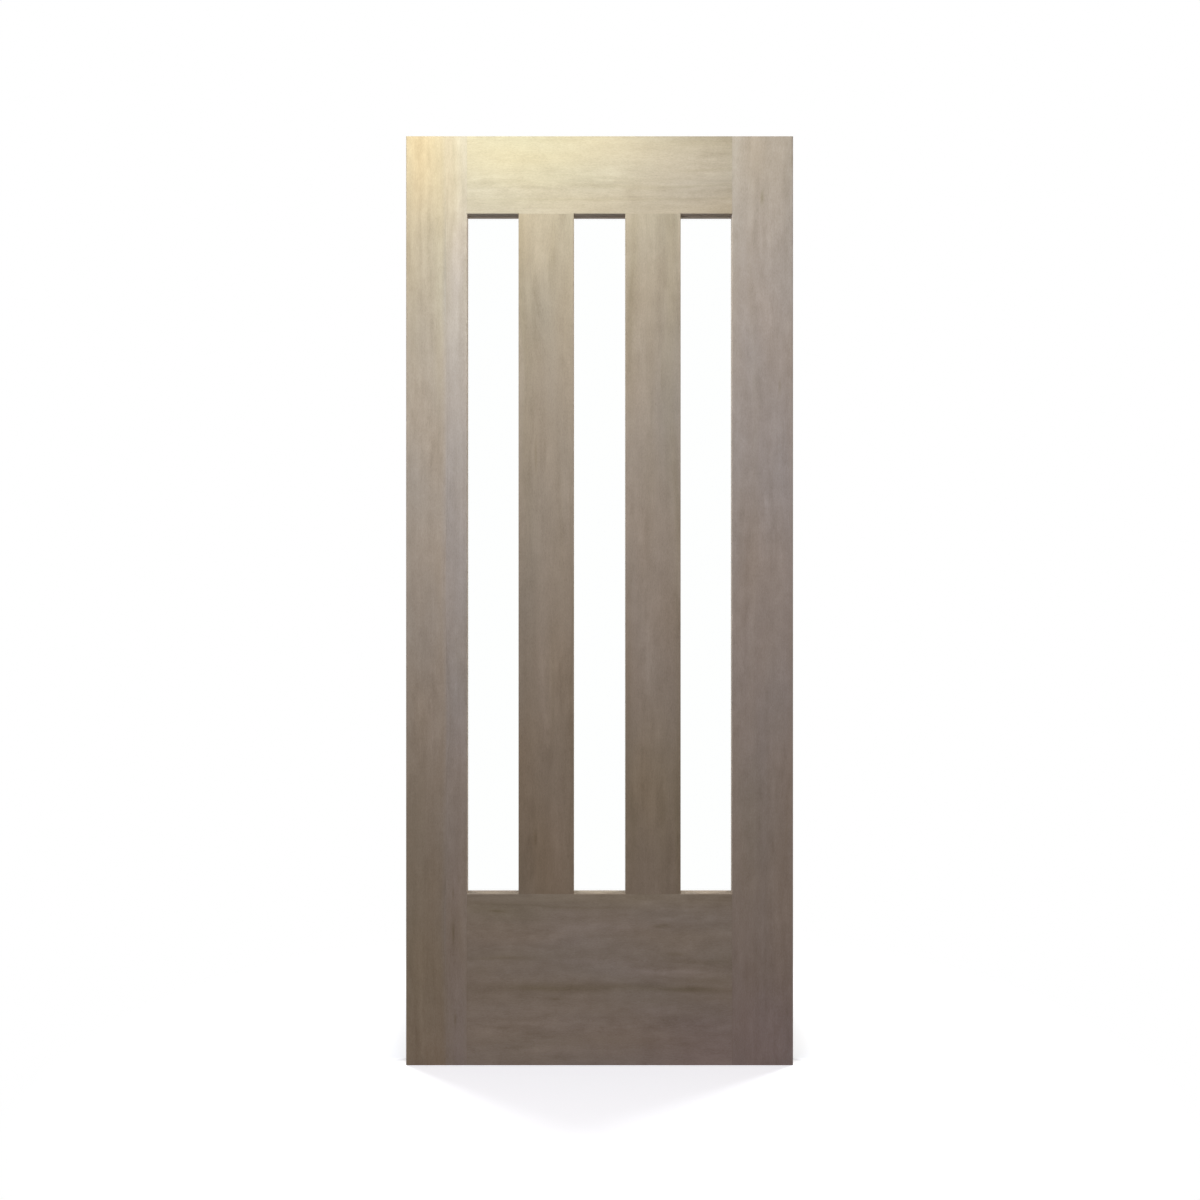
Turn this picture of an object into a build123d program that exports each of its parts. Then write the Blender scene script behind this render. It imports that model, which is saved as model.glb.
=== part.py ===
"""Glazed door leaf with three tall lights between square-edged timber members.

X runs across the leaf from its hinge edge, Y from the front face to the back, Z up from the foot.
The origin is at the foot of the hinge edge, halfway through the thickness.
Every member is one length of timber. The glass lies in rebates cut from the back, behind a solid
front lip, between two strips of glazing tape, and four mitred beads hold it in each light.
The rails join the stiles, and the mullions join the rails, with tenons whose back shoulders are
longer than the front ones by the width of the rebate.
"""

from build123d import *
import os

# Leaf
leaf_width = 850
leaf_height = 2040
leaf_thickness = 40
edge_rounding = 2

# Members, as wide as they look from the front
stile_width = 134
top_rail_width = 171
bottom_rail_width = 376
mullion_width = 121.5
light_easing = 1
light_names = ("left_light", "centre_light", "right_light")
mullion_names = ("left_mullion", "right_mullion")

# Glazing
lip_thickness = 14
rebate_width = 12
tape_thickness = 1.5
tape_width = 6
tape_set_back = 1
glass_thickness = 6
glass_edge_room = 3
glass_edge_grinding = 0.5
bead_set_back = 1
bead_light_set_back = 2
bead_rounding = 3

# Tenons, which lie straight behind the lip
tenon_thickness = 14
tenon_length = 85
haunch_length = 10
top_haunch_height = 45
bottom_haunch_height = 40
twin_tenon_gap = 50
mullion_tenon_length = 40
mullion_tenon_shoulder = 12
glue_line = 0.1
mortise_end_room = 2

# Planes across the thickness
front_face = -leaf_thickness / 2
back_face = leaf_thickness / 2
rebate_face = front_face + lip_thickness
tenon_middle = rebate_face + tenon_thickness / 2
glass_front = rebate_face + tape_thickness
glass_back = glass_front + glass_thickness
bead_front = glass_back + tape_thickness
bead_back = back_face - bead_set_back
bead_width = rebate_width - bead_light_set_back

# Places of the lights and mullions
light_count = len(light_names)
mullions_together = len(mullion_names) * mullion_width
light_width = (leaf_width - 2 * stile_width - mullions_together) / light_count
light_low = bottom_rail_width
light_high = leaf_height - top_rail_width
light_height = light_high - light_low
light_middle = (light_low + light_high) / 2
light_pitch = light_width + mullion_width
light_centres = [stile_width + light_width / 2 + i * light_pitch for i in range(light_count)]
mullion_centres = [x + light_pitch / 2 for x in light_centres[:-1]]

# The rebates' walls, which are also the back shoulders
back_shoulder = stile_width - rebate_width
rebate_low = light_low - rebate_width
rebate_high = light_high + rebate_width
rebate_length = rebate_high - rebate_low
mullion_back_width = mullion_width - 2 * rebate_width
mullion_tenon_width = mullion_back_width - 2 * mullion_tenon_shoulder

# Lowest and highest points of the rails' tenons and haunches
twin_tenon_height = (rebate_low - bottom_haunch_height - twin_tenon_gap) / 2
lower_twin_top = bottom_haunch_height + twin_tenon_height
upper_twin_foot = lower_twin_top + twin_tenon_gap
top_tenons = [(rebate_high, leaf_height - top_haunch_height)]
top_haunches = [(leaf_height - top_haunch_height, leaf_height)]
bottom_tenons = [(bottom_haunch_height, lower_twin_top), (upper_twin_foot, rebate_low)]
bottom_haunches = [(0, bottom_haunch_height), (lower_twin_top, upper_twin_foot)]

across_middle = Plane.YZ.offset(leaf_width / 2)


def limits(low_1, high_1, low_2, high_2):
    """Draws a rectangle from its limits along the sketch's two axes."""
    with Locations(((low_1 + high_1) / 2, (low_2 + high_2) / 2)):
        Rectangle(high_1 - low_1, high_2 - low_2)


def upright_panel(plane_y, thickness, centre, width, height, mode=Mode.ADD, taper=0):
    """A panel level with the middle of the lights, from a plane at plane_y towards the back."""
    with BuildSketch(Plane.XZ.offset(-plane_y)) as outline:
        with Locations((centre, light_middle)):
            Rectangle(width, height)
    extrude(outline.sketch, amount=-thickness, mode=mode, taper=taper)


def tenon_sections(heights, room=0):
    """Draws tenons end on, or their mortises with room on every side."""
    for low, high in heights:
        with Locations((tenon_middle, (low + high) / 2)):
            Rectangle(tenon_thickness + 2 * room, high - low + 2 * room)


def ease_lights():
    """Takes the sharp front arris off round every light, mitred at the corners."""
    for centre in light_centres:
        width = light_width + 2 * light_easing
        height = light_height + 2 * light_easing
        upright_panel(front_face, light_easing, centre, width, height, Mode.SUBTRACT, taper=45)


def round_edges(edges):
    """Rounds those of the given edges that lie in the front or the back face."""
    ranks = edges.group_by(Axis.Y)
    fillet(ranks[0] + ranks[-1], edge_rounding)


def save(piece, name):
    """Names a finished piece and writes it."""
    piece.part.label = name
    export_step(piece.part, f"parts/{name}.step")


os.makedirs("parts", exist_ok=True)

# Left stile: a rebated section, mortised for both rails
with BuildPart() as left_stile:
    with BuildSketch():
        limits(0, stile_width, front_face, rebate_face)
        limits(0, back_shoulder, rebate_face, back_face)
    extrude(amount=leaf_height)
    outer_edges = left_stile.edges().filter_by(Axis.Z).group_by(Axis.X)[0]
    top_edges = left_stile.faces().sort_by(Axis.Z)[-1].edges().filter_by(Axis.X)
    round_edges(outer_edges + top_edges)
    with BuildSketch(Plane.YZ.offset(back_shoulder)):
        tenon_sections(top_tenons + bottom_tenons, glue_line)
    extrude(amount=-tenon_length - mortise_end_room, mode=Mode.SUBTRACT)
    with BuildSketch(Plane.YZ.offset(back_shoulder)):
        tenon_sections(top_haunches + bottom_haunches, glue_line)
    extrude(amount=-haunch_length - glue_line, mode=Mode.SUBTRACT)
    ease_lights()
save(left_stile, "left_stile")

# Right stile: the left one's mirror image
with BuildPart() as right_stile:
    mirror(left_stile.part, about=across_middle)
save(right_stile, "right_stile")


def make_rail(light_edge, outer_edge, tenons, haunches):
    """A rail rebated along its light edge and tenoned at both ends.

    Its lip reaches from one stile's front to the other's, and the rest on to the back shoulders.
    The mullions' mortises are sunk in from the rebate.
    """
    outwards = 1 if outer_edge > light_edge else -1
    rebate_edge = light_edge + outwards * rebate_width
    half_back = leaf_width / 2 - back_shoulder
    with BuildPart() as rail:
        with BuildSketch(across_middle):
            limits(front_face, rebate_face, min(light_edge, outer_edge), max(light_edge, outer_edge))
        extrude(amount=leaf_width / 2 - stile_width, both=True)
        with BuildSketch(across_middle):
            limits(rebate_face, back_face, min(rebate_edge, outer_edge), max(rebate_edge, outer_edge))
        extrude(amount=half_back, both=True)
        if outwards > 0:
            round_edges(rail.faces().sort_by(Axis.Z)[-1].edges().filter_by(Axis.X))
        with BuildSketch(across_middle):
            tenon_sections(tenons)
        extrude(amount=half_back + tenon_length, both=True)
        with BuildSketch(across_middle):
            tenon_sections(haunches)
        extrude(amount=half_back + haunch_length, both=True)
        with BuildSketch(Plane.XY.offset(rebate_edge)):
            with Locations(*[(x, tenon_middle) for x in mullion_centres]):
                Rectangle(mullion_tenon_width + 2 * glue_line, tenon_thickness + 2 * glue_line)
        extrude(amount=outwards * (mullion_tenon_length + mortise_end_room), mode=Mode.SUBTRACT)
        ease_lights()
    return rail


save(make_rail(light_high, leaf_height, top_tenons, top_haunches), "top_rail")
save(make_rail(light_low, 0, bottom_tenons, bottom_haunches), "bottom_rail")

# Mullions: rebated along both sides, tenoned into both rails
for name, centre in zip(mullion_names, mullion_centres):
    tip_to_tip = rebate_length + 2 * mullion_tenon_length
    with BuildPart() as mullion:
        upright_panel(front_face, lip_thickness, centre, mullion_width, light_height)
        upright_panel(rebate_face, back_face - rebate_face, centre, mullion_back_width, rebate_length)
        upright_panel(rebate_face, tenon_thickness, centre, mullion_tenon_width, tip_to_tip)
        ease_lights()
    save(mullion, name)


def make_glass(centre):
    """A pane with its sharp edges ground off, held clear of the rebate's walls."""
    overlap = rebate_width - glass_edge_room
    with BuildPart() as glass:
        width = light_width + 2 * overlap
        upright_panel(glass_front, glass_thickness, centre, width, light_height + 2 * overlap)
        chamfer(glass.faces().filter_by(Axis.Y).edges(), glass_edge_grinding)
    return glass


def make_tape(centre, plane_y, set_back):
    """A frame of glazing tape with its inner edge set back from the edge of the front lip."""
    with BuildPart() as tape:
        for edge, mode in ((set_back + tape_width, Mode.ADD), (set_back, Mode.SUBTRACT)):
            width = light_width + 2 * edge
            upright_panel(plane_y, tape_thickness, centre, width, light_height + 2 * edge, mode)
    return tape


def make_bead(corner, across, along, length):
    """A glazing bead along one side of a rebate, mitred at both ends.

    It runs from a corner of the rebate in the direction called along, and lies from the rebate's
    wall in the direction called across, where its back corner is rounded.
    """
    far_corner = corner + along * length
    with BuildPart() as bead:
        with BuildSketch(Plane(origin=corner, x_dir=across, z_dir=along)) as section:
            Rectangle(bead_width, bead_back - bead_front, align=Align.MIN)
            light_side = section.vertices().group_by(Axis.X)[-1]
            fillet(light_side.sort_by(Axis.Y)[-1], bead_rounding)
        extrude(amount=length)
        split(bisect_by=Plane(origin=corner, z_dir=along - across), keep=Keep.TOP)
        split(bisect_by=Plane(origin=far_corner, z_dir=-along - across), keep=Keep.TOP)
    return bead


# Glazing of each light: the pane, its tapes and its four beads
for name, centre in zip(light_names, light_centres):
    save(make_glass(centre), f"{name}_glass")
    back_tape_set_back = bead_light_set_back + tape_set_back
    save(make_tape(centre, rebate_face, tape_set_back), f"{name}_front_tape")
    save(make_tape(centre, glass_back, back_tape_set_back), f"{name}_back_tape")
    right, up = Vector(1, 0, 0), Vector(0, 0, 1)
    half_rebate = right * (light_width / 2 + rebate_width)
    low_middle = Vector(centre, bead_front, rebate_low)
    high_middle = Vector(centre, bead_front, rebate_high)
    across_length = light_width + 2 * rebate_width
    save(make_bead(low_middle - half_rebate, right, up, rebate_length), f"{name}_left_bead")
    save(make_bead(high_middle - half_rebate, -up, right, across_length), f"{name}_top_bead")
    save(make_bead(high_middle + half_rebate, -right, -up, rebate_length), f"{name}_right_bead")
    save(make_bead(low_middle + half_rebate, up, -right, across_length), f"{name}_bottom_bead")
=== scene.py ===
# %% [markdown]
# # A glazed door leaf
#
# The leaf is already built, to size, as a CAD model: two stiles, two rails, two mullions, three
# panes, and the tape and beads that hold them. Blender brings in that model as a fixed frame,
# and this lesson gives it its finish: timber cut from a log, glass, tape, the pins in the beads,
# and a plain studio to stand in.
#
# The frame's units are metres. X runs across the leaf from its hinge edge, Y from its front to
# its back, and Z up from its foot. No piece of the frame is moved or reshaped here.

# %% Load the leaf
import math

import bpy
import numpy as np
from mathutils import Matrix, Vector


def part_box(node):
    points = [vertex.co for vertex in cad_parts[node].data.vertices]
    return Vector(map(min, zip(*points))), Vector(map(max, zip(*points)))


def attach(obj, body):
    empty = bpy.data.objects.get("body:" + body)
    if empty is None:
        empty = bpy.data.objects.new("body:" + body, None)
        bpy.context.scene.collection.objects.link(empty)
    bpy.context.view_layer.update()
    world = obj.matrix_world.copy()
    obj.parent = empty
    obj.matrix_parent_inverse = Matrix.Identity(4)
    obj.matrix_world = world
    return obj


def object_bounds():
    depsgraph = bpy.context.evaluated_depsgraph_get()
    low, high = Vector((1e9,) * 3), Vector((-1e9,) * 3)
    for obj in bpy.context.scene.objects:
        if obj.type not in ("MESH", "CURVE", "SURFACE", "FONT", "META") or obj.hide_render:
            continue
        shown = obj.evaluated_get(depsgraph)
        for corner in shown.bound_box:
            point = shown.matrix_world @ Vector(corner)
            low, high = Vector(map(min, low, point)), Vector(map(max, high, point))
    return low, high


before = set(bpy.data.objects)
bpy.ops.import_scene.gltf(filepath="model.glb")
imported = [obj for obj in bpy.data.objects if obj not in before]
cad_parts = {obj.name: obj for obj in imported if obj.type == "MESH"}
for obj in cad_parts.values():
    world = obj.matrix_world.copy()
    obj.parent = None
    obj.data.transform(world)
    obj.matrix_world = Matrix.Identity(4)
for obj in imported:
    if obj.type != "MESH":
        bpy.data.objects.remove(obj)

cad_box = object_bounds()
print("pieces in the frame:", len(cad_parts))
print("the leaf's box in metres:", [[round(c, 4) for c in corner] for corner in cad_box])

# %% Read the leaf's main sizes in millimetres
PER_METRE = 1000


def millimetres(length):
    """A length of the frame in millimetres, to a hundredth."""
    return round(PER_METRE * length, 2)


LEAF_MIDDLE = millimetres(cad_box[1].x) / 2
LEAF_HEIGHT = millimetres(cad_box[1].z)
HALF_THICKNESS = millimetres(cad_box[1].y)
print("middle, height and half the thickness:", LEAF_MIDDLE, LEAF_HEIGHT, HALF_THICKNESS)

# %% [markdown]
# ## The camera
#
# The leaf is seen straight on, so the camera looks along Y from a point level with the leaf's
# middle, give or take a millimetre. It stands 2.2 m in front of the face. From there the soffits
# and sills of the lights still show as thin strips, which tell the eye how thick the leaf is. A
# camera farther away with a longer lens would lose them, and a nearer one would make them wide.
# The picture's width and middle are measured in metres on the front face.

# %% Set up the camera
CAMERA_DISTANCE = 2.2
PICTURE_WIDTH = 2.634
PICTURE_MIDDLE = (0.4259, 1.0213)

camera = bpy.data.objects.new("camera", bpy.data.cameras.new("camera"))
bpy.context.scene.collection.objects.link(camera)
camera.location = (PICTURE_MIDDLE[0], cad_box[0].y - CAMERA_DISTANCE, PICTURE_MIDDLE[1])
camera.rotation_euler = (math.pi / 2, 0, 0)
camera.data.sensor_width = 36
camera.data.lens = camera.data.sensor_width * CAMERA_DISTANCE / PICTURE_WIDTH
bpy.context.scene.camera = camera
print("lens in mm:", round(camera.data.lens, 2))

# %% [markdown]
# ## Sums in a node tree
#
# Every finish below is a sum of patterns: broad bands, fine fibres, pores, stains. Wiring a
# Math node by hand for each plus and times soon hides the idea behind the plumbing. A small
# class can stand for one output of a node tree and add the Math nodes itself, so a finish
# reads as the sum that it is.
#
# The helpers after it mix shaders or colours by such a number, and end a tree. Timber, tape and
# filler are all matt, so one helper makes their shader: a colour, a dullness that varies, a faint
# gloss, and a relief so fine that it is only worth bumping the light, not the shape.

# %% Write node sums as plain arithmetic
class Signal:
    """A number that varies over a surface. Arithmetic on it adds Math nodes to its tree."""

    def __init__(self, tree, socket):
        self.tree, self.socket = tree, socket

    def math(self, operation, *others):
        node = self.tree.nodes.new("ShaderNodeMath")
        node.operation = operation
        for slot, value in zip(node.inputs, (self, *others)):
            if isinstance(value, Signal):
                self.tree.links.new(value.socket, slot)
            else:
                slot.default_value = value
        return Signal(self.tree, node.outputs[0])

    def __add__(self, other):
        return self.math("ADD", other)

    def __sub__(self, other):
        return self.math("SUBTRACT", other)

    def __mul__(self, other):
        return self.math("MULTIPLY", other)

    def step(self, low, high):
        """A smooth step, from 0 where this signal is low to 1 where it is high."""
        node = self.tree.nodes.new("ShaderNodeMapRange")
        node.interpolation_type = "SMOOTHSTEP"
        self.tree.links.new(self.socket, node.inputs["Value"])
        node.inputs["From Min"].default_value = low
        node.inputs["From Max"].default_value = high
        return Signal(self.tree, node.outputs["Result"])


# %% Mix shaders and colours by a signal
def new_material(name):
    """An empty material and its node tree."""
    material = bpy.data.materials.new(name)
    material.use_nodes = True
    material.node_tree.nodes.clear()
    return material, material.node_tree


def mix_shaders(tree, factor, first, second):
    """One shader node's output where the signal is 0, another's where it is 1."""
    node = tree.nodes.new("ShaderNodeMixShader")
    tree.links.new(factor.socket, node.inputs["Fac"])
    tree.links.new(first.outputs[0], node.inputs[1])
    tree.links.new(second.outputs[0], node.inputs[2])
    return node


def mix_colours(tree, factor, first, second, blend="MIX"):
    """Two colours, mixed by a signal. Each is three numbers or another mix's output.

    A Mix node takes its two colours at inputs 6 and 7, and gives its result at output 2.
    """
    node = tree.nodes.new("ShaderNodeMix")
    node.data_type = "RGBA"
    node.blend_type = blend
    if isinstance(factor, Signal):
        tree.links.new(factor.socket, node.inputs["Factor"])
    else:
        node.inputs["Factor"].default_value = factor
    for slot, colour in zip((node.inputs[6], node.inputs[7]), (first, second)):
        if isinstance(colour, bpy.types.NodeSocket):
            tree.links.new(colour, slot)
        else:
            slot.default_value = (*colour, 1)
    return node.outputs[2]


# %% End a tree, and make a matt surface
BUMP_UNIT = 0.001


def show(tree, shader):
    """Links a shader node to the tree's output."""
    output = tree.nodes.new("ShaderNodeOutputMaterial")
    tree.links.new(shader.outputs[0], output.inputs["Surface"])


def dull_surface(tree, colour, dullness, gloss, height=None):
    """A matt surface. dullness and height are signals, and the height is in millimetres."""
    shader = tree.nodes.new("ShaderNodeBsdfPrincipled")
    tree.links.new(colour, shader.inputs["Base Color"])
    tree.links.new(dullness.socket, shader.inputs["Roughness"])
    shader.inputs["Specular IOR Level"].default_value = gloss
    if height:
        relief = tree.nodes.new("ShaderNodeBump")
        relief.inputs["Strength"].default_value = 1
        relief.inputs["Distance"].default_value = BUMP_UNIT
        tree.links.new(height.socket, relief.inputs["Height"])
        tree.links.new(relief.outputs["Normal"], shader.inputs["Normal"])
    show(tree, shader)


# %% [markdown]
# ## Noise with a grain
#
# Timber's patterns are all longer along the grain than across it. A Noise Texture makes round
# lumps, and a Mapping node in front of it stretches them. The helpers below take the size of a
# lump in millimetres in each direction, and scale the result so that its usual spread is one.
# A strength of 0.01 in a later sum then simply means one percent.
#
# Detail adds octaves to a noise, each finer and weaker than the one before. They average out a
# little, so the spread of the sum is that of one octave times a factor below one.

# %% Make noise of a known size and spread
ONE_OCTAVE_SPREAD = 0.14
START_STEPS = (1.0, 1.7, 2.9)


def spread_of(detail, roughness):
    """The spread of a Noise Texture's output about its middle value of 0.5."""
    octaves = roughness ** np.arange(int(detail) + 1)
    return ONE_OCTAVE_SPREAD * math.sqrt((octaves ** 2).sum()) / octaves.sum()


def noise_at(tree, socket_name, place, detail, roughness):
    """A Noise Texture read at a place, around zero with a spread of about one."""
    texture = tree.nodes.new("ShaderNodeTexNoise")
    if socket_name == "W":
        texture.noise_dimensions = "1D"
    tree.links.new(place, texture.inputs[socket_name])
    texture.inputs["Scale"].default_value = 1
    texture.inputs["Detail"].default_value = detail
    texture.inputs["Roughness"].default_value = roughness
    return (Signal(tree, texture.outputs["Fac"]) - 0.5) * (1 / spread_of(detail, roughness))


def noise(tree, vector, size, detail, roughness, start):
    """Noise whose lumps have the given size. start picks a part of the noise to begin in."""
    mapping = tree.nodes.new("ShaderNodeMapping")
    tree.links.new(vector, mapping.inputs["Vector"])
    mapping.inputs["Scale"].default_value = [1 / length for length in size]
    mapping.inputs["Location"].default_value = [step * start for step in START_STEPS]
    return noise_at(tree, "Vector", mapping.outputs["Vector"], detail, roughness)


def noise_along(tree, signal, size, detail, roughness, start):
    """The same for a single number, such as the distance from the middle of a log."""
    return noise_at(tree, "W", (signal * (1 / size) + start).socket, detail, roughness)


for detail in (1, 3):
    print("spread with", detail, "further octaves:", round(spread_of(detail, 0.5), 3))

# %% [markdown]
# ## Timber
#
# Each member is one length sawn from a log. Its figure isn't painted on: it is where the
# face cuts through the rings of the tree. A picture wrapped round a member would show the same
# lines on its face, edge and end. So the timber is worked out in three dimensions instead. Every
# point has a distance from the middle of the log, rings follow that distance, and the same rings
# then run as long lines down a face and as arcs across an end, as they do in a real one.
#
# The log isn't a perfect cone. A slow noise bends the grain by a few millimetres, and every
# finer pattern is read from the bent position, so that fibres, pores and stains follow it.

# %% Place a piece inside its log
def log_position(tree, along, middle):
    """Position in millimetres: across the grain, through the thickness, along the grain.

    The first is counted from the member's middle. In a member that lies level, the Mapping node
    turns the leaf's X to the third place, where the grain runs.
    """
    coordinates = tree.nodes.new("ShaderNodeTexCoord")
    mapping = tree.nodes.new("ShaderNodeMapping")
    tree.links.new(coordinates.outputs["Object"], mapping.inputs["Vector"])
    mapping.inputs["Scale"].default_value = (PER_METRE, PER_METRE, PER_METRE)
    if along == "Z":
        mapping.inputs["Location"].default_value = (-middle, 0, 0)
    else:
        mapping.inputs["Rotation"].default_value = (0, -math.pi / 2, 0)
        mapping.inputs["Location"].default_value = (middle, 0, 0)
    return mapping.outputs["Vector"]


def parts_of(tree, vector):
    """The three numbers of a vector, each as a signal."""
    node = tree.nodes.new("ShaderNodeSeparateXYZ")
    tree.links.new(vector, node.inputs[0])
    return [Signal(tree, socket) for socket in node.outputs]


def vector_of(tree, *signals):
    """The vector of three signals."""
    node = tree.nodes.new("ShaderNodeCombineXYZ")
    for slot, signal in zip(node.inputs, signals):
        tree.links.new(signal.socket, slot)
    return node.outputs[0]


# %% [markdown]
# ## Rings and grain
#
# Two kinds of pattern make the figure. The first follows the distance from the middle of the
# log: broad bands of paler and darker wood, and the single rings among them, each of which
# darkens slowly and ends at once. The second is noise drawn out along the grain, from streaks as
# wide as a finger to fibres and open pores a third of a millimetre wide. It takes several sizes,
# because a single one looks printed as soon as the eye has found its size.
#
# Timber isn't equally lively all over, either. A slow noise multiplies the streaks and flecks,
# so that one stretch of a board is quiet and the next isn't.

# %% Grow the figure
RING_WIDTH = 5.2
BAND_WIDTH = 26
FADING_WIDTH = 17


def rings(tree, across, depth, along_grain, pith, lean, seed):
    """Bands and rings that follow the distance from the middle of the log, sqrt(a^2 + b^2).

    a and b are the distances from the middle, across the face and through the thickness. Where
    the log leans, they change along the member. A ring darkens from 45 to 93 percent of its
    width and is pale again at its end, and groups of rings fade in and out.
    """
    a = across - pith[0] + along_grain * lean[0]
    b = depth - pith[1] + along_grain * lean[1]
    radius = (a * a + b * b).math("SQRT")
    bands = noise_along(tree, radius, BAND_WIDTH, 3, 0.5, seed)
    ring = (radius * (1 / RING_WIDTH) + bands * 0.5).math("FRACT")
    ring = ring.step(0.45, 0.93) * (ring * -1).step(-1.0, -0.95)
    fading = noise_along(tree, radius, FADING_WIDTH, 2, 0.5, seed + 9).step(-1.2, 1.6)
    return bands, ring * fading


def grain(tree, grown, coarse, seed):
    """The patterns drawn out along the grain, by name. coarse widens the streaks and flecks.

    Each size is that of one lump: across the face, through the thickness and along the grain.
    How lively the timber is runs from 0.4 in a quiet stretch to 1.6.
    """
    lively = noise(tree, grown, (60, 60, 190), 1, 0.5, seed + 12).step(-1.6, 1.6) * 1.2 + 0.4
    streaks = noise(tree, grown, (24 * coarse, 30 * coarse, 340), 3, 0.65, seed + 1)
    flecks = noise(tree, grown, (16 * coarse, 20 * coarse, 66 * coarse), 3, 0.62, seed + 8)
    return {
        "streaks": streaks * lively,
        "flecks": flecks * lively,
        "mottle": noise(tree, grown, (26, 40, 40), 2, 0.5, seed + 2),
        "clouds": noise(tree, grown, (75, 75, 330), 1, 0.5, seed + 3),
        "fibres": noise(tree, grown, (0.5, 0.5, 30), 2, 0.6, seed + 4),
        "speckle": noise(tree, grown, (1.9, 1.9, 5), 1, 0.5, seed + 10),
        "pores": noise(tree, grown, (0.28, 0.28, 5.5), 1, 0.5, seed + 6).step(1.25, 2.1),
    }


# %% [markdown]
# ## Marks, stains and painted light
#
# A board also has marks of its own: a mineral streak, a darker flame, a fleck by a knot. They
# are what makes two boards differ. Noise never puts one in a chosen place, so each is listed, as
# a soft ellipse with a place, a width, a length and a strength. It is measured in the bent grain,
# so a long one wavers with the timber round it. A strength above zero makes the timber darker,
# and one below zero makes it paler. A few wide, pale ellipses at the foot of the leaf are painted
# light, not the board's own: they make the foot paler, as light thrown up from the floor would. A
# stain is written down in the same way, but turns the timber's hue instead. The warm ones at the
# top left corner are painted light as well: they tint it as a warm lamp's light would. Marks and
# stains both belong to the front face. They go in as deep as the lip in front of the glass, and
# fade out behind it.

# %% Mark the timber
MARK_REACH = 14


def from_middle(marks, along, middle):
    """The same marks, with the first number counted as log_position counts it."""
    return [(a - middle if along == "Z" else middle - a, *rest) for a, *rest in marks]


def marks_on(across, depth, along_grain, marks):
    """The sum of soft ellipses, each exp(-(a / width)^2 - (b / length)^2) times its strength.

    a and b are distances from its centre, across the grain and along it. A mark is whole down to
    MARK_REACH under the front face, and gone at twice that.
    """
    total = depth * 0
    for place_across, place_along, width, length, strength in marks:
        a = (across - place_across) * (1 / width)
        b = (along_grain - place_along) * (1 / length)
        total = total + ((a * a + b * b) * -1).math("EXPONENT") * strength
    return total * (depth * -1).step(HALF_THICKNESS - 2 * MARK_REACH, HALF_THICKNESS - MARK_REACH)


# %% [markdown]
# ## The joiner's lines
#
# Where two boards are glued flush, a line about half a millimetre wide shows between them, and
# the mitres of the beads show one too. The solids of the frame meet without a gap, so nothing
# would be seen there. Real grooves would have to be cut into the frame, and they would be far
# too fine to look round. A line in the colour does the same work, and it can follow a joint that
# lies in one place on the front and in another behind the glass, where the rails' shoulders are
# cut longer to fill the rebate.
#
# The ends of an upright are sawn across the fibres. They soak up more oil, so they are darker,
# and their rings stand out.

# %% Draw the joints and the sawn ends
LIP_BACK = millimetres(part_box("left_light_front_tape")[0].y)
JOINT_REACH, JOINT_SHADE = 0.5, 0.3
MITRE_REACH, MITRE_SHADE = 0.45, 0.35
SAWN_REACH, SAWN_SHADE, SAWN_RING_SHADE = 0.9, 0.2, 0.22


def near(distance, reach):
    """1 where a distance is close to zero, and 0 beyond the reach."""
    return (distance.math("ABSOLUTE") * -1).step(-reach, -0.1)


def joiner_lines(across, depth, along_grain, ring, joints, mitres, ends):
    """How much darker the timber is at its joints, mitres and sawn ends.

    A joint is two places along the grain, the first in front of the lip's back and the second
    behind it. A mitre is a place along the grain, one across it, and the line's slope. An end is
    a place along the grain.
    """
    darker = depth * 0
    behind_lip = depth.step(LIP_BACK - 0.1, LIP_BACK + 0.1)
    for front, back in joints:
        off_line = along_grain - front - behind_lip * (back - front)
        darker = darker + near(off_line, JOINT_REACH) * JOINT_SHADE
    for place_along, place_across, slope in mitres:
        off_line = along_grain - place_along - (across - place_across) * slope
        darker = darker + near(off_line, MITRE_REACH) * MITRE_SHADE
    for place in ends:
        sawn = near(along_grain - place, SAWN_REACH)
        darker = darker + sawn * (ring * SAWN_RING_SHADE + SAWN_SHADE)
    return darker


print("the lip's back lies at", LIP_BACK, "mm, behind a lip of", HALF_THICKNESS + LIP_BACK, "mm")

# %% [markdown]
# ## The sum
#
# The last step adds the patterns up. Each has a strength in its table, as a share of the
# timber's own lightness. A pale, even hardwood has faint rings, and what the eye reads as wood is
# mostly fine fibre and pore.
#
# A darker streak isn't the same colour with less light on it. It loses blue first and red last,
# so it looks browner. So the sum becomes a colour by way of a hue, three numbers that say how
# closely red, green and blue follow it, and the listed marks, mostly minerals and resin, have a
# stronger hue than the grain. The wide pale marks at the foot are painted light, and they take
# that stronger hue too. A slow noise then drifts between warm and cool.
#
# An oiled surface is dull, and duller still in an open pore. The relief is only microns deep:
# fibres stand up a little, pores are pits, and the hard rings lie lower where they were sanded.

# %% Turn a sum into a colour
TIMBER_COLOUR = (0.312, 0.263, 0.206)
DARK_HUE = (0.93, 1.00, 1.12)
MARK_HUE = (0.94, 1.00, 1.36)
DRIFT_HUE = (-0.12, 0.0, 0.16)
GLUED_ON_HUE = (1.02, 1.05, 1.145)
HUE_DRIFT = 0.09
STRENGTHS = {
    "bands": 0.017, "ring": -0.016, "streaks": 0.026, "flecks": 0.02, "mottle": 0.018,
    "clouds": 0.014, "fibres": 0.028, "speckle": 0.028, "pores": -0.2,
}


def shade(tree, amount, hue):
    """The colour 1 + amount * hue, where amount is a signal from -0.5 to 0.5."""
    hue = np.array(hue)
    return mix_colours(tree, amount + 0.5, 1 - 0.5 * hue, 1 + 0.5 * hue)


def times(tree, first, second):
    """Two colours multiplied."""
    return mix_colours(tree, 1.0, first, second, "MULTIPLY")


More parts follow.
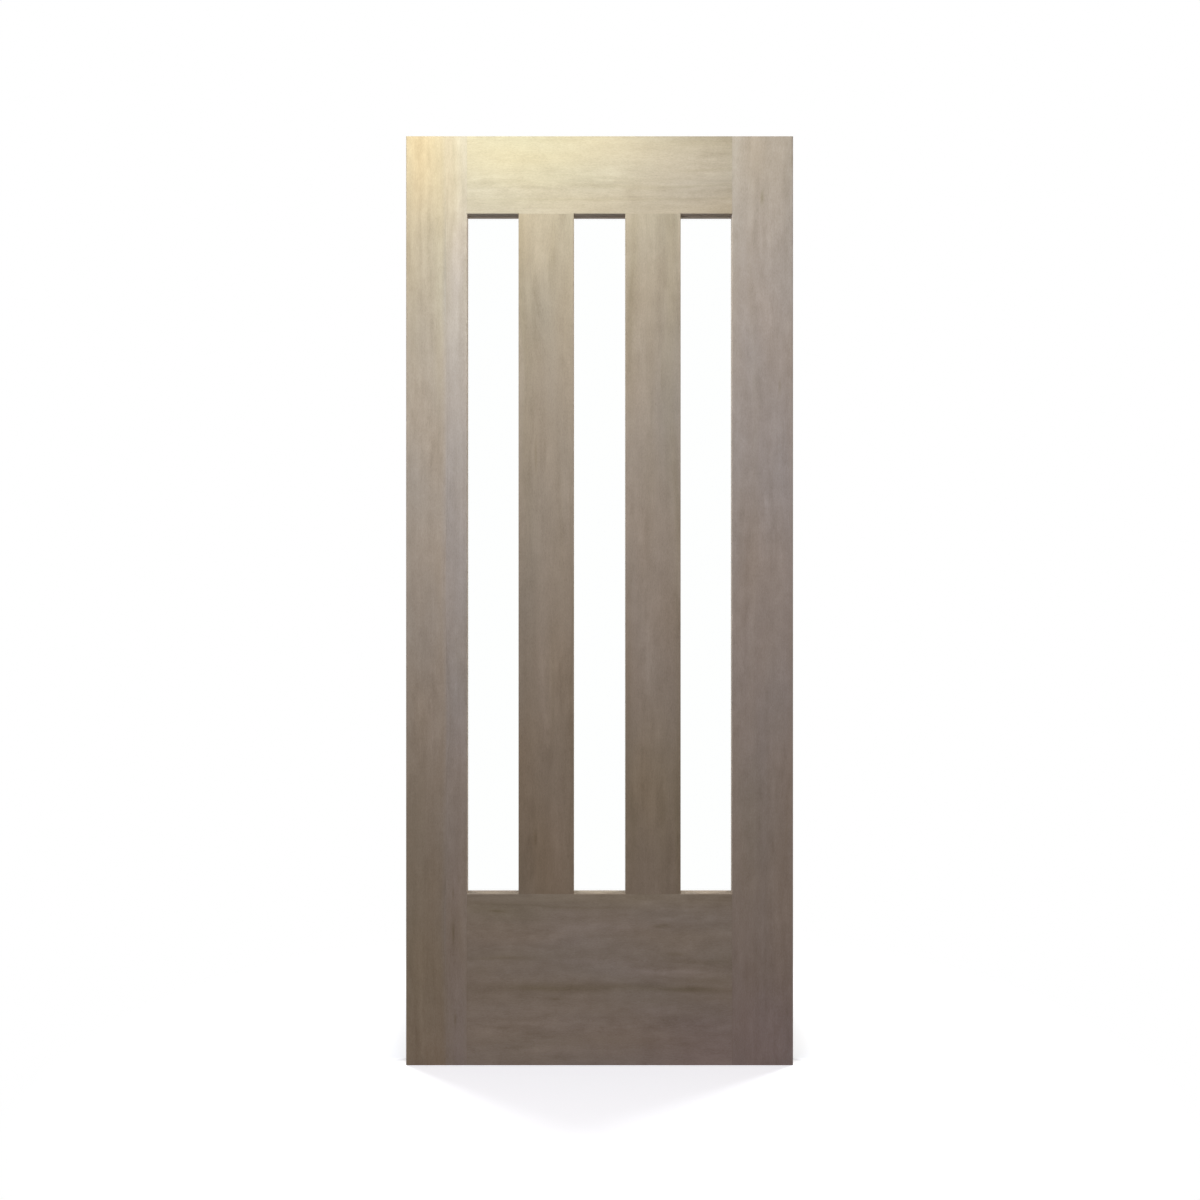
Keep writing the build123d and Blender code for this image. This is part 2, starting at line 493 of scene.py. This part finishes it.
def turn_hue(tree, colour, amount, hue):
    """The colour, turned towards a hue where the amount is 1."""
    return times(tree, colour, mix_colours(tree, amount, (1, 1, 1), hue))


print("patterns in the sum:", len(STRENGTHS))

# %% Build one timber
SLOW_BEND, QUICK_BEND = 3.2, 0.45
BEND_THROUGH = 0.6
MARK_BEND, STAIN_AND_WARM_LIGHT_BEND, GLUE_BEND = 1.4, 2, 0.6
GLUED_ON_STRIP = (61, 23)
GLUE_FADE = (-12, 3)
TIMBER_GLOSS = 0.22


def timber(name, along, middle, pith, lean, seed, tint, marks=(), stains_and_warm_light=(), strengths=None,
           joints=(), mitres=(), ends=(), glue_line=None, coarse=1.0):
    """A material for one member. pith is the middle of the log, in millimetres from the member's
    own middle and the leaf's, and lean is how far the log leans for each millimetre of length.
    From glue_line on, across the face, the member is a second strip of timber glued to the first,
    sawn from another place in the log. The grain bends by a few millimetres, less through the
    thickness than across the face, and the marks, the patches of stain and painted warm light, and
    the glued strip's hue bend with it.
    """
    share = {**STRENGTHS, **(strengths or {})}
    material, tree = new_material(name)
    straight = log_position(tree, along, middle)
    across, depth, along_grain = parts_of(tree, straight)
    slow = noise(tree, straight, (90, 90, 420), 1, 0.4, seed)
    quick = noise(tree, straight, (16, 16, 80), 2, 0.5, seed + 5)
    bend = slow * SLOW_BEND + quick * QUICK_BEND
    grown_across, grown_depth = across + bend, depth + bend * BEND_THROUGH
    if glue_line:
        beyond = across.step(glue_line - 0.01, glue_line + 0.01)
        grown_across = grown_across + beyond * GLUED_ON_STRIP[0]
        grown_depth = grown_depth + beyond * GLUED_ON_STRIP[1]
    grown = vector_of(tree, grown_across, grown_depth, along_grain)

    bands, ring = rings(tree, grown_across, grown_depth, along_grain, pith, lean, seed)
    patterns = {"bands": bands, "ring": ring, **grain(tree, grown, coarse, seed)}
    tone = joiner_lines(across, depth, along_grain, ring, joints, mitres, ends) * -1
    for pattern, strength in share.items():
        tone = tone + patterns[pattern] * strength

    colour = times(tree, shade(tree, tone, DARK_HUE), np.multiply(TIMBER_COLOUR, tint))
    # The listed marks are the timber's own, except the wide pale ones at the foot, which are painted
    # light.
    marks = from_middle(marks, along, middle)
    marked = marks_on(across + bend * MARK_BEND, depth, along_grain, marks)
    colour = times(tree, colour, shade(tree, marked * -1, MARK_HUE))
    drift = noise(tree, grown, (90, 90, 300), 1, 0.5, seed + 7) * HUE_DRIFT
    colour = times(tree, colour, shade(tree, drift, DRIFT_HUE))
    # Most of these patches are stains; the warm ones at the top left are painted warm light.
    for hue, places in stains_and_warm_light:
        places = from_middle(places, along, middle)
        amount = marks_on(across + bend * STAIN_AND_WARM_LIGHT_BEND, depth, along_grain, places)
        colour = turn_hue(tree, colour, amount, hue)
    if glue_line:
        from_line = across + bend * GLUE_BEND - glue_line
        colour = turn_hue(tree, colour, from_line.step(*GLUE_FADE), GLUED_ON_HUE)

    fibres, pores = patterns["fibres"], patterns["pores"]
    dullness = fibres * 0.02 + pores * 0.12 - bands * 0.01 + 0.6
    height = fibres * 0.004 - pores * 0.05 - ring * 0.01
    dull_surface(tree, colour, dullness, TIMBER_GLOSS, height)
    return material


# %% Give a piece of the frame its finish
def finish_node(name, material):
    """Puts the material in the piece's slot, or makes the slot."""
    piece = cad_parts[name]
    if not piece.material_slots:
        piece.data.materials.append(material)
    piece.material_slots[0].material = material


def middle_across(name, along):
    """The middle of a piece across its grain, in millimetres."""
    low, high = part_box(name)
    return PER_METRE / 2 * ((low.x + high.x) if along == "Z" else (low.z + high.z))


# %% [markdown]
# ## The six members
#
# Each member gets its own place in its own log. Where the middle of the log is far to one side,
# the face cuts the rings on edge and shows straight lines. Where it is behind the face, the rings
# lie nearly flat, and a small lean draws them out into tongues. The tint is how much lighter or
# warmer a board is than the rest, because a leaf is never made from one tree.
#
# A mark is five numbers: its place across the grain and along it, in millimetres from the leaf's
# corner at the foot of the hinge edge, its half width and half length, and its strength. A stain
# also has a hue: what red, green and blue are multiplied by where the stain is full. The rails'
# shoulders are read from the frame. In front they meet the stiles' faces, and behind the lip they
# meet the walls of the rebates, where the outermost beads lie.

# %% Name the stain colours and the painted warm light, and find the rails' shoulders
# The peach hue is painted warm light, used only at the top left corner. The yellow one is a stain on
# the stiles, and painted warm light at the top rail's upper left.
PAINTED_WARM_LIGHT = (1.105, 1.015, 0.89)
YELLOW_STAIN_AND_WARM_LIGHT = (1.0, 1.0, 0.92)
PURPLE = (0.965, 0.945, 1.07)
OLIVE = (0.95, 0.94, 0.85)
PALE_BLUE = (1.0, 1.0, 1.055)
CHESTNUT = (1.015, 0.99, 0.965)
SHOULDERS = (
    (millimetres(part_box("left_stile")[1].x), millimetres(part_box("left_light_left_bead")[0].x)),
    (millimetres(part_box("right_stile")[0].x), millimetres(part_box("right_light_right_bead")[1].x)),
)
SAWN_ENDS = (0, LEAF_HEIGHT)
print("shoulders, front and back:", SHOULDERS)

# %% Choose each member's log and marks
MEMBERS = {
    "left_stile": dict(
        along="Z", pith=(-210, 90), lean=(0.012, 0.01), seed=11.3, tint=(1.04, 1.03, 0.98),
        glue_line=21, ends=SAWN_ENDS,
        marks=[(88, 1020, 0.9, 1400, 0.07), (107, 378, 2.8, 11, 0.2), (109, 290, 3, 24, 0.2),
               (106, 100, 3, 16, 0.22), (120, 410, 2.4, 10, 0.12), (112, 300, 16, 60, 0.11),
               (20, 540, 20, 150, 0.1), (110, 1400, 26, 420, 0.02), (58, 820, 24, 200, -0.065),
               # (67, 30, ...) is painted light: a paler foot, as light thrown up from the floor would
               # give.
               (67, 30, 90, 80, -0.1), (18, 1640, 13, 180, 0.075), (55, 240, 50, 110, 0.05),
               (104, 1960, 18, 110, 0.09), (124, 270, 6, 80, 0.07), (77, 520, 7, 130, -0.05),
               (64, 1950, 8, 90, 0.045), (112, 900, 18, 60, 0.065), (112, 700, 18, 70, -0.09),
               (112, 30, 18, 45, -0.09), (112, 400, 14, 35, -0.08), (112, 1300, 16, 80, 0.035),
               (97, 1880, 9, 70, 0.05), (66, 700, 60, 60, -0.035), (45, 400, 35, 40, 0.035)],
        # The peach patch at the top left corner is painted warm light: the tint a warm lamp gives
        # there.
        stains_and_warm_light=[(PAINTED_WARM_LIGHT, [(35, 2050, 60, 190, 1.0)]),
                (PALE_BLUE, [(114, 130, 18, 300, 1.3), (116, 1770, 16, 90, 1.5)]),
                (YELLOW_STAIN_AND_WARM_LIGHT, [(22, 240, 36, 200, 0.5), (66, 1650, 14, 200, 0.6)])]),
    "right_stile": dict(
        along="Z", pith=(260, 140), lean=(-0.008, 0.012), seed=23.7, tint=(1.06, 1.07, 1.14),
        ends=SAWN_ENDS,
        strengths={"bands": 0.012, "ring": -0.008, "streaks": 0.018, "mottle": 0.024},
        marks=[(788, 1904, 3.4, 15, 0.24), (821, 1490, 3.2, 16, 0.18), (738, 1220, 20, 220, 0.06),
               (843, 1988, 3, 14, 0.16), (840, 1200, 16, 620, -0.04), (812, 500, 22, 140, 0.06),
               # (783, 0, ...) is painted light: a paler foot, as light thrown up from the floor would
               # give.
               (783, 0, 90, 50, -0.05), (785, 200, 60, 50, 0.08), (763, 1400, 9, 500, 0.06),
               (745, 700, 9, 290, -0.045), (780, 1960, 36, 80, 0.05), (780, 1500, 50, 60, 0.03),
               (777, 820, 10, 150, -0.04), (842, 520, 7, 110, 0.06), (836, 820, 9, 170, -0.03),
               (780, 700, 60, 50, -0.03)],
        stains_and_warm_light=[(PURPLE, [(800, 50, 160, 170, 1.0)]), (PALE_BLUE, [(785, 1900, 90, 600, 1.0)]),
                (YELLOW_STAIN_AND_WARM_LIGHT, [(747, 530, 28, 160, 0.75)])]),
    "left_mullion": dict(
        along="Z", pith=(18, 62), lean=(0.004, 0.021), seed=37.1, tint=(0.857, 0.83, 0.757),
        coarse=1.5, strengths={"streaks": 0.03, "flecks": 0.024},
        marks=[(327, 1790, 8, 80, 0.09), (287, 1339, 2.8, 38, 0.14), (280, 498, 3.6, 16, 0.18),
               (308, 1869, 80, 150, -0.07), (268, 1250, 15, 240, 0.1), (274, 1640, 18, 160, 0.06),
               (256, 1560, 9, 290, 0.1), (364, 860, 3.4, 420, 0.09), (335, 520, 22, 130, -0.13),
               (304, 790, 11, 230, -0.09), (343, 1220, 5, 180, 0.05), (288, 1200, 6, 160, 0.035),
               (270, 840, 8, 150, 0.04), (325, 850, 6, 140, 0.055), (308, 1500, 50, 50, -0.035),
               (342, 415, 24, 50, -0.06)],
        stains_and_warm_light=[(CHESTNUT, [(308, 860, 90, 330, 1.0)])]),
    "right_mullion": dict(
        along="Z", pith=(-120, 70), lean=(0.01, 0.008), seed=41.9, tint=(0.94, 0.928, 0.905),
        coarse=1.4, strengths={"streaks": 0.03, "flecks": 0.022},
        marks=[(565, 1520, 3.6, 70, 0.1), (515, 820, 13, 80, -0.03), (542, 1500, 80, 300, 0.02),
               (589, 1150, 9, 900, 0.1), (494, 1660, 10, 220, 0.16), (532, 1400, 11, 330, 0.055),
               (575, 1420, 10, 360, 0.08), (500, 520, 13, 140, 0.12), (566, 520, 11, 130, 0.08),
               (578, 1680, 11, 170, 0.05), (588, 1230, 8, 200, 0.05), (542, 1300, 50, 60, 0.035),
               (493, 900, 6, 260, 0.07), (592, 500, 6, 110, 0.12), (582, 820, 9, 150, -0.06),
               (542, 1850, 50, 45, 0.05)],
        stains_and_warm_light=[(OLIVE, [(545, 620, 90, 160, 0.9)]), (CHESTNUT, [(542, 860, 90, 250, 1.0)])]),
    "top_rail": dict(
        along="X", pith=(-95, 130), lean=(0.02, 0.03), seed=53.3, tint=(1.013, 1.012, 0.99),
        joints=SHOULDERS,
        marks=[(1903, 400, 3.4, 330, 0.09), (1936, 560, 5, 190, 0.09), (1976, 660, 3.2, 70, 0.09),
               (2020, 350, 45, 350, -0.02), (1953, 400, 9, 130, 0.045), (2021, 615, 14, 120, 0.1),
               (2036, 320, 9, 220, 0.09), (1923, 230, 5, 130, -0.06), (1955, 200, 36, 160, -0.03),
               (1894, 230, 9, 110, 0.05), (1941, 230, 6, 100, 0.05), (1922, 425, 10, 100, -0.04)],
        # The yellow patch at the rail's upper left is painted warm light: the tint a warm lamp gives
        # there.
        stains_and_warm_light=[(YELLOW_STAIN_AND_WARM_LIGHT, [(2000, 250, 90, 200, 1.0)]), (PALE_BLUE, [(1955, 640, 110, 150, 1.0)])]),
    "bottom_rail": dict(
        along="X", pith=(40, 170), lean=(0.03, 0.05), seed=67.7, tint=(1.07, 1.093, 1.14),
        joints=SHOULDERS, coarse=1.9,
        strengths={"streaks": 0.026, "bands": 0.012, "ring": -0.006, "flecks": 0.03, "mottle": 0.03},
        marks=[(167, 430, 6.5, 300, 0.12), (168, 350, 7.5, 85, 0.1), (169, 625, 8.5, 65, 0.2),
               (233, 210, 4, 70, 0.1), (233, 640, 4, 70, 0.1), (350, 330, 3.4, 170, 0.08),
               (332, 200, 3.4, 16, 0.2), (302, 562, 4.4, 18, 0.2), (147, 328, 3.4, 12, 0.2),
               # (5, 425, ...) runs along the rail's foot and is painted light: a paler foot, as light
               # thrown up from the floor would give.
               (246, 591, 4, 24, 0.14), (5, 425, 50, 500, -0.12), (330, 225, 16, 110, 0.1),
               (88, 250, 26, 220, -0.19), (124, 240, 14, 130, -0.09), (238, 220, 17, 110, 0.12),
               (90, 620, 15, 90, -0.07), (226, 430, 9, 120, -0.09), (213, 590, 9, 130, -0.1),
               (204, 530, 15, 65, -0.17), (202, 168, 14, 35, 0.07), (300, 350, 15, 45, -0.05),
               (272, 620, 20, 90, 0.07), (302, 435, 12, 90, -0.11), (167, 275, 6, 45, 0.09),
               (80, 425, 13, 90, -0.06), (144, 615, 8, 90, 0.06), (328, 615, 9, 90, 0.05),
               (190, 660, 9, 60, 0.1), (240, 705, 12, 35, 0.09), (274, 365, 11, 55, -0.09),
               (332, 350, 10, 40, -0.07), (120, 545, 12, 40, -0.1), (30, 370, 12, 80, -0.06),
               (42, 620, 18, 70, 0.045), (362, 550, 10, 45, -0.09), (173, 480, 6, 55, 0.09),
               (35, 185, 16, 60, -0.06), (92, 610, 12, 35, -0.05)],
        stains_and_warm_light=[(PURPLE, [(30, 690, 95, 160, 1.0)]), (OLIVE, [(376, 425, 30, 420, 1.0)]),
                (OLIVE, [(335, 190, 34, 110, 0.9), (70, 235, 80, 130, 0.35)])]),
}
print("marks by hand:", sum(len(choices["marks"]) for choices in MEMBERS.values()))

# %% Finish the members
for name, choices in MEMBERS.items():
    middle = middle_across(name, choices["along"])
    finish_node(name, timber(name, middle=middle, **choices))
    print(name, "middle at", round(middle, 1), "mm")

# %% [markdown]
# ## The beads
#
# The beads are thin strips of the same timber, cut to length and mitred. Each is given its own
# strip, with the grain along its length, because the eye finds a mitre by the turn of the grain.
# The mitre's own seam starts at each end of the strip's long edge, by the rebate's wall, and
# runs inwards at 45 degrees.

# %% Find a bead's mitres
LIGHTS = ("left_light", "centre_light", "right_light")


def mitres_of(name, side, along):
    """Both mitres of a bead: a place along its grain, one across it, and the seam's slope.

    Across the grain, a bead in a rail's place is counted downwards from its middle, as
    log_position counts it, so a top bead has its wall on the same side as a left one.
    """
    low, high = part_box(name)
    inward = 1 if side in ("left", "top") else -1
    width, start, end = ((high.x - low.x, low.z, high.z) if along == "Z"
                         else (high.z - low.z, low.x, high.x))
    wall = -inward * 0.5 * PER_METRE * width
    return [(PER_METRE * start, wall, inward), (PER_METRE * end, wall, -inward)]


# %% Finish the beads
BEAD_LEAN = (0.004, 0.006)
shades = np.random.default_rng(7)
for light in LIGHTS:
    for side in ("left", "top", "right", "bottom"):
        name = f"{light}_{side}_bead"
        along = "Z" if side in ("left", "right") else "X"
        tint = shades.uniform(0.9, 1.04) * shades.uniform(0.98, 1.02, 3)
        pith = shades.uniform(40, 120, 2)
        seed = shades.uniform(5, 90)
        finish_node(name, timber(name, along, middle_across(name, along), pith, BEAD_LEAN, seed,
                                 tint, mitres=mitres_of(name, side, along)))
print("beads finished:", 4 * len(LIGHTS))

# %% [markdown]
# ## The glass
#
# A pane is clear, flat and polished. A Principled shader with full transmission bends and
# reflects light as glass does, but its shadow would be as dark as a board's, because rays sent
# straight to a lamp can't bend. The Light Path node tells those rays apart, and lets them
# through. A 6 mm pane lets green light through best, so its colour is white with a trace of green.

# %% Finish the panes
GLASS_COLOUR = (0.99, 0.998, 0.994)
GLASS_IOR = 1.5


def clear_glass(name):
    """Clear glass whose shadow is as pale as a real pane's."""
    material, tree = new_material(name)
    pane = tree.nodes.new("ShaderNodeBsdfPrincipled")
    pane.inputs["Base Color"].default_value = (*GLASS_COLOUR, 1)
    pane.inputs["Roughness"].default_value = 0
    pane.inputs["IOR"].default_value = GLASS_IOR
    pane.inputs["Transmission Weight"].default_value = 1
    open_way = tree.nodes.new("ShaderNodeBsdfTransparent")
    path = tree.nodes.new("ShaderNodeLightPath")
    shadow_ray = Signal(tree, path.outputs["Is Shadow Ray"])
    show(tree, mix_shaders(tree, shadow_ray, pane, open_way))
    return material


glass = clear_glass("clear_glass")
for light in LIGHTS:
    finish_node(f"{light}_glass", glass)
print("panes finished:", len(LIGHTS))

# %% [markdown]
# ## The glazing tape
#
# Between glass and timber lies a strip of closed-cell foam. Its edge shows as a dark line deep
# in the rebate. Foam has no grain, so two sizes of round noise are enough: one for its cells,
# and one for the way it was pressed.

# %% Finish the tape
FOAM_DARK = (0.07, 0.058, 0.047)
FOAM_PALE = (0.13, 0.112, 0.093)
FOAM_GLOSS = 0.3


def foam_tape(name):
    """Brown closed-cell foam."""
    material, tree = new_material(name)
    position = log_position(tree, "Z", 0)
    cells = noise(tree, position, (0.35, 0.35, 0.35), 1, 0.5, 3)
    pressed = noise(tree, position, (9, 9, 9), 2, 0.5, 8)
    colour = mix_colours(tree, cells * 0.12 + pressed * 0.1 + 0.5, FOAM_DARK, FOAM_PALE)
    dull_surface(tree, colour, cells * 0.05 + 0.8, FOAM_GLOSS, height=cells * 0.03)
    return material


tape = foam_tape("glazing_tape")
for light in LIGHTS:
    for side in ("front", "back"):
        finish_node(f"{light}_{side}_tape", tape)
print("tapes finished:", 2 * len(LIGHTS))

# %% [markdown]
# ## The bead pins
#
# A bead is held by thin pins, each driven a little below the surface, and the hole is stopped
# with filler the colour of the timber. What shows is a round dab, level with the bead at its
# rim and slightly domed. It could be a flattened sphere, but half of that would lie inside the
# bead. A dome is a curve turned about an axis, so its points are a function of two numbers: how
# far out, and how far round.

# %% Shape the dabs of filler
DAB_RADIUS = 0.0013
DAB_RISE = 0.00025
INNERMOST = 0.22


def dabs(centres, rings=5, spokes=16):
    """Domes on the back of the beads, one at each centre.

    With s from 0 at the middle to 1 at the rim and t once round, a point is the centre plus
    radius * s * (cos t, sin t) across the bead, and stands out by rise * (1 - s^2). The rim is
    then carried straight in, so that the dab is closed against the bead.
    """
    s = np.append(np.linspace(INNERMOST, 1, rings), 1)
    out = DAB_RISE * (1 - s ** 2)
    out[-1] = -DAB_RISE
    t = np.linspace(0, 2 * np.pi, spokes, endpoint=False)
    x = np.outer(s, np.cos(t)) * DAB_RADIUS
    z = -np.outer(s, np.sin(t)) * DAB_RADIUS
    y = np.repeat(out[:, None], spokes, axis=1)
    one = np.stack([x, y, z], axis=-1).reshape(-1, 3)
    one = np.vstack([one, (0, DAB_RISE, 0), (0, -DAB_RISE, 0)])
    ring, spoke = np.meshgrid(np.arange(rings), np.arange(spokes), indexing="ij")
    a = (ring * spokes + spoke).ravel()
    b = (ring * spokes + (spoke + 1) % spokes).ravel()
    quads = np.stack([a, b, b + spokes, a + spokes], axis=-1)
    rim = np.arange(spokes)
    top, foot = len(one) - 2, len(one) - 1
    cap = np.stack([np.full(spokes, top), (rim + 1) % spokes, rim], axis=-1)
    last = rings * spokes
    base = np.stack([np.full(spokes, foot), last + rim, last + (rim + 1) % spokes], axis=-1)
    points = (np.asarray(centres)[:, None, :] + one[None]).reshape(-1, 3)
    shift = np.arange(len(centres))[:, None, None] * len(one)
    faces = [*(quads + shift).reshape(-1, 4).tolist(),
             *(np.vstack([cap, base]) + shift).reshape(-1, 3).tolist()]
    return points, faces


print("one dab has", len(dabs([(0, 0, 0)])[1]), "faces")

# %% Set the dabs out along the beads
PIN_INSET = 0.005
PIN_SPACING = 0.19
PIN_FROM_CORNER = 0.03


def pin_places(light):
    """Even places along each bead of a light, a fixed way in from the rebate's wall."""
    low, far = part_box(f"{light}_left_bead")[0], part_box(f"{light}_right_bead")[1]
    places = []
    for start, end, near_wall, far_wall in ((low.z, far.z, low.x, far.x),
                                            (low.x, far.x, low.z, far.z)):
        gaps = max(round((end - start - 2 * PIN_FROM_CORNER) / PIN_SPACING), 1)
        run = np.linspace(start + PIN_FROM_CORNER, end - PIN_FROM_CORNER, gaps + 1)
        for across in (near_wall + PIN_INSET, far_wall - PIN_INSET):
            places.append(np.stack([np.full(gaps + 1, across), run], axis=-1))
    left, right, bottom, top = places
    across_and_up = np.vstack([left, right, bottom[:, ::-1], top[:, ::-1]])
    return np.insert(across_and_up, 1, far.y, axis=1)


# %% Stop the holes with filler
FILLER_DARK = (0.16, 0.125, 0.088)
FILLER_PALE = (0.25, 0.2, 0.145)
FILLER_GLOSS = 0.2


def filler(name):
    """Gritty filler, stained near the timber's colour."""
    material, tree = new_material(name)
    position = log_position(tree, "Z", 0)
    grit = noise(tree, position, (0.3, 0.3, 0.3), 2, 0.6, 4)
    colour = mix_colours(tree, grit * 0.15 + 0.5, FILLER_DARK, FILLER_PALE)
    dull_surface(tree, colour, grit * 0.05 + 0.75, FILLER_GLOSS)
    return material


def new_piece(name, points, faces, material):
    """An object made of the given points and faces."""
    mesh = bpy.data.meshes.new(name)
    mesh.from_pydata(points.tolist(), [], faces)
    mesh.materials.append(material)
    mesh.shade_smooth()
    mesh.update()
    piece = bpy.data.objects.new(name, mesh)
    bpy.context.scene.collection.objects.link(piece)
    return piece


stopping = filler("filler")
for light in LIGHTS:
    places = pin_places(light)
    piece = new_piece(f"{light}_pins", *dabs(places), stopping)
    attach(piece, "root")
    print(piece.name, "dabs:", len(places))

# %% [markdown]
# ## The floor and the white room
#
# The leaf stands on a plain pale floor in a white room. The room must look white, but if it
# also lit the leaf as white, the timber would lose its shape. The Light Path node parts the two:
# rays from the camera, and those that glass or a gloss sends on, see white, while rays that
# carry light see a dimmer room.
#
# The floor is parted in the same way. Seen directly, it is a pale matt floor that takes the
# leaf's shadow, and with distance it turns into plain white, so that it meets the room without a
# line. The back lamps are the brighter ones, so in front of the leaf the floor is given some
# white, and behind it none, and the change lies under the leaf, where nobody sees it. Light that
# bounces sees a darker floor before the leaf and a paler one behind it. The paler one throws some
# light up under the heads of the lights, which face the floor.

# %% Make the room
FILL_COLOUR = (1.0, 0.82, 0.71)
FILL_STRENGTH = 0.54


def seen_directly(tree):
    """1 for rays from the camera, and those sent on by glass or gloss, before any matt bounce."""
    path = tree.nodes.new("ShaderNodeLightPath")
    kinds = ("Camera", "Glossy", "Transmission")
    rays = [Signal(tree, path.outputs[f"Is {kind} Ray"]) for kind in kinds]
    camera_ray, glossy, transmitted = rays
    no_bounce = Signal(tree, path.outputs["Diffuse Depth"]).math("LESS_THAN", 0.5)
    return camera_ray.math("MAXIMUM", glossy).math("MAXIMUM", transmitted) * no_bounce


world = bpy.data.worlds.new("room")
bpy.context.scene.world = world
world.use_nodes = True
tree = world.node_tree
tree.nodes.clear()
backgrounds = []
for colour, strength in ((FILL_COLOUR, FILL_STRENGTH), ((1, 1, 1), 1)):
    background = tree.nodes.new("ShaderNodeBackground")
    background.inputs["Color"].default_value = (*colour, 1)
    background.inputs["Strength"].default_value = strength
    backgrounds.append(background)
room = mix_shaders(tree, seen_directly(tree), *backgrounds)
output = tree.nodes.new("ShaderNodeOutputWorld")
tree.links.new(room.outputs[0], output.inputs["Surface"])
print("the room fills with a strength of", FILL_STRENGTH)

# %% Finish the floor
SHADE_SIDE = 220
FLOOR_FADE = (150, 800)
ADDED_WHITE = 0.5
SEEN_IN_FRONT, SEEN_BEHIND = (0.75, 0.81, 0.87), (0.71, 0.775, 0.84)
BOUNCE_IN_FRONT, BOUNCE_BEHIND = (0.125, 0.12, 0.113), (0.5, 0.47, 0.44)
BOUNCE_CHANGE = 300


def floor_finish(name):
    """The floor as it is seen, and as it throws light. Places are in millimetres."""
    material, tree = new_material(name)
    bouncing, pale = (tree.nodes.new("ShaderNodeBsdfDiffuse") for _ in range(2))
    added_white, plain_white = (tree.nodes.new("ShaderNodeEmission") for _ in range(2))
    by_leaf = tree.nodes.new("ShaderNodeAddShader")
    tree.links.new(pale.outputs[0], by_leaf.inputs[0])
    tree.links.new(added_white.outputs[0], by_leaf.inputs[1])
    x, y, _ = parts_of(tree, log_position(tree, "Z", LEAF_MIDDLE))
    beside = (x.math("ABSOLUTE") - LEAF_MIDDLE).math("MAXIMUM", 0)
    behind = y.step(-HALF_THICKNESS, HALF_THICKNESS) * (beside * -1).step(-SHADE_SIDE, 0)
    tree.links.new((behind * -ADDED_WHITE + ADDED_WHITE).socket, added_white.inputs["Strength"])
    tree.links.new(mix_colours(tree, behind, SEEN_IN_FRONT, SEEN_BEHIND), pale.inputs["Color"])
    bounce = mix_colours(tree, y.step(0, BOUNCE_CHANGE), BOUNCE_IN_FRONT, BOUNCE_BEHIND)
    tree.links.new(bounce, bouncing.inputs["Color"])
    distance = (beside * beside + y * y).math("SQRT")
    seen = mix_shaders(tree, distance.step(*FLOOR_FADE), by_leaf, plain_white)
    show(tree, mix_shaders(tree, seen_directly(tree), bouncing, seen))
    return material


# %% Lay the floor
FLOOR_HALF = 9.0

corners = np.array([(-1, -1, 0), (1, -1, 0), (1, 1, 0), (-1, 1, 0)]) * FLOOR_HALF
floor = new_piece("floor", corners, [(0, 1, 2, 3)], floor_finish("floor"))
print("floor is", 2 * FLOOR_HALF, "m across")

# %% [markdown]
# ## The lamps
#
# Two soft lamps stand before the leaf. A warm one hangs high at its upper left and points past
# its top, so that it lights the top corner most. A cooler one at mid height lights the lower
# right, and between them they fall off down the leaf with distance and angle. That slope of light
# gives a flat leaf its depth. It could be painted into the timber, but then it would stay there
# under any other light. Two more lamps stand behind, one at each side. They light the back and
# the edges, and can't reach the front.

# %% Hang the lamps
def soft_lamp(name, place, aim, size, power, colour):
    """A round lamp that lights the scene and isn't seen in it. Its power is in watts."""
    data = bpy.data.lights.new(name, "AREA")
    data.shape = "DISK"
    data.size = size
    data.energy = power
    data.color = colour
    lamp = bpy.data.objects.new(name, data)
    bpy.context.scene.collection.objects.link(lamp)
    lamp.location = place
    reach = np.array(aim) - np.array(place)
    flat = math.hypot(reach[0], reach[1])
    turn = math.atan2(reach[1], reach[0]) - math.pi / 2
    lamp.rotation_euler = (math.atan2(flat, -reach[2]), 0, turn)
    lamp.visible_camera = False
    lamp.visible_glossy = False
    lamp.visible_transmission = False
    print(name, "gives", power, "watts")


soft_lamp("warm_lamp", (0.186, -0.696, 2.362), (0.245, 0, 2.6), 0.6, 19.6, (0.91, 1.0, 0.86))
soft_lamp("cool_lamp", (0.183, -0.8, 1.53), (0.5, 0, 1.15), 0.9, 8.55, (0.724, 0.795, 1.0))
soft_lamp("back_left_lamp", (-1.6, 1.5, 2.3), (0.3, 0, 1.0), 0.9, 60, (1.0, 0.96, 0.9))
soft_lamp("back_right_lamp", (2.5, 1.3, 1.9), (0.6, 0, 1.0), 0.9, 60, (1.0, 0.98, 0.95))
bpy.context.scene.view_settings.view_transform = "Standard"
